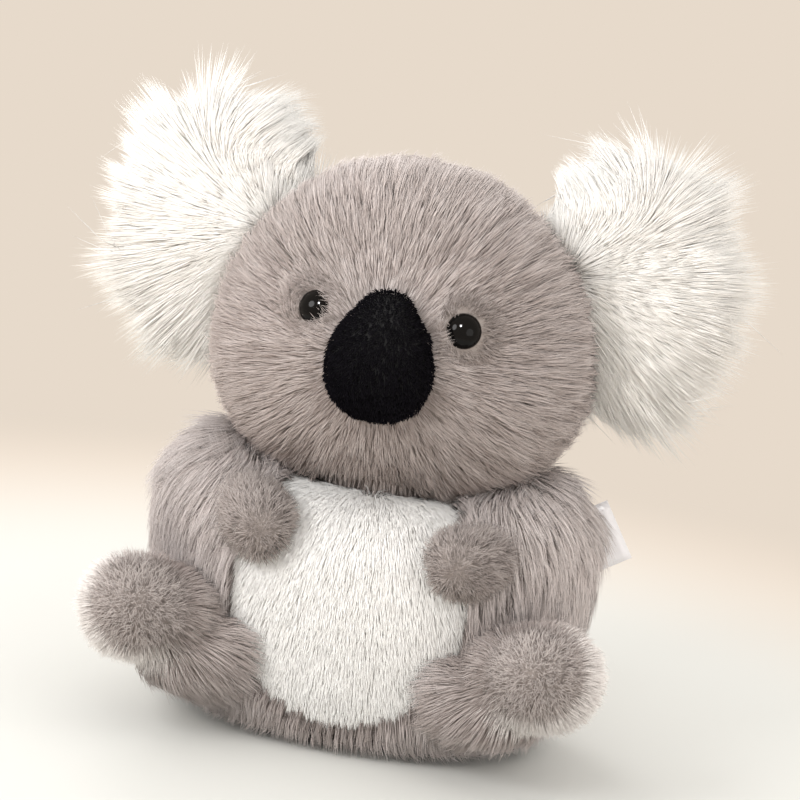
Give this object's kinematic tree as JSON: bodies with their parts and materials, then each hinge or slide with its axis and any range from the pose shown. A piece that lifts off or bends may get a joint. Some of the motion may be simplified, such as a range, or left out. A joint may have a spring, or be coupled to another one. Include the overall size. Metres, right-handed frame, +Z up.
{
  "type": "plush koala",
  "caption": "Sitting plush koala with sewn pile panels over stuffing, fluffy ears, a large fleece nose and a weighted flat seat; head, ears, arms and legs flex at their seams.",
  "frame": {"origin": "on the flat seat, under the middle of the torso", "axes": "+Z up, the toy faces -Y, its left side is +X"},
  "size_m": [0.2178, 0.1219, 0.1979],
  "materials": {
    "grey_fur": "matte",
    "white_fur": "matte",
    "black_fleece": "matte",
    "eye_plastic": "gloss",
    "washer_nylon": "satin",
    "stuffing_fibre": "matte",
    "bag_calico": "matte",
    "label_satin": "satin"
  },
  "bodies": {
    "torso": {"seat_panel": "grey_fur", "belly_panel": "white_fur", "body_back_panel": "grey_fur", "pellet_bag": "bag_calico", "body_stuffing": "stuffing_fibre", "care_label": "label_satin"},
    "neck": {"neck_plug": "stuffing_fibre"},
    "head": {"face_panel": "grey_fur", "head_back_panel": "grey_fur", "head_stuffing": "stuffing_fibre", "nose_cover": "black_fleece", "nose_stuffing": "stuffing_fibre", "eye_left": "eye_plastic", "eye_right": "eye_plastic", "eye_washer_left": "washer_nylon", "eye_washer_right": "washer_nylon"},
    "ear_left": {"ear_left_front": "white_fur", "ear_left_back": "grey_fur"},
    "arm_left": {"arm_left_sleeve": "grey_fur", "arm_left_stuffing": "stuffing_fibre"},
    "leg_left": {"leg_left_upper": "grey_fur", "leg_left_sole": "grey_fur", "leg_left_stuffing": "stuffing_fibre"},
    "ear_right": {"ear_right_front": "white_fur", "ear_right_back": "grey_fur"},
    "arm_right": {"arm_right_sleeve": "grey_fur", "arm_right_stuffing": "stuffing_fibre"},
    "leg_right": {"leg_right_upper": "grey_fur", "leg_right_sole": "grey_fur", "leg_right_stuffing": "stuffing_fibre"}
  },
  "joints": [
    {"name": "neck_turn", "type": "hinge", "parent": "torso", "child": "neck", "pos_m": [0, -0.003, 0.078], "axis": [0, 0, 1], "range_deg": [-20, 20], "stiffness_Nm_per_rad": 0.3},
    {"name": "neck_nod", "type": "hinge", "parent": "neck", "child": "head", "pos_m": [0, -0.003, 0.078], "axis": [1, 0, 0], "range_deg": [-9, 4], "stiffness_Nm_per_rad": 0.6},
    {"name": "ear_left_fold", "type": "hinge", "parent": "head", "child": "ear_left", "pos_m": [0.0465, 0.013, 0.143], "axis": [-0.4226, 0, 0.9063], "range_deg": [-15, 30], "stiffness_Nm_per_rad": 0.05},
    {"name": "arm_left_open", "type": "hinge", "parent": "torso", "child": "arm_left", "pos_m": [0.053, 0.005, 0.064], "axis": [-0.3746, 0, 0.9272], "range_deg": [0, 50], "stiffness_Nm_per_rad": 0.06},
    {"name": "leg_left_spread", "type": "hinge", "parent": "torso", "child": "leg_left", "pos_m": [0.05, -0.026, 0.0255], "axis": [0, 0, 1], "range_deg": [0, 35], "stiffness_Nm_per_rad": 0.06},
    {"name": "ear_right_fold", "type": "hinge", "parent": "head", "child": "ear_right", "pos_m": [-0.0465, 0.013, 0.143], "axis": [0.4226, 0, 0.9063], "range_deg": [-30, 15], "stiffness_Nm_per_rad": 0.05},
    {"name": "arm_right_open", "type": "hinge", "parent": "torso", "child": "arm_right", "pos_m": [-0.053, 0.005, 0.064], "axis": [0.3746, 0, 0.9272], "range_deg": [-50, 0], "stiffness_Nm_per_rad": 0.06},
    {"name": "leg_right_spread", "type": "hinge", "parent": "torso", "child": "leg_right", "pos_m": [-0.05, -0.026, 0.0255], "axis": [0, 0, 1], "range_deg": [-35, 0], "stiffness_Nm_per_rad": 0.06}
  ]
}
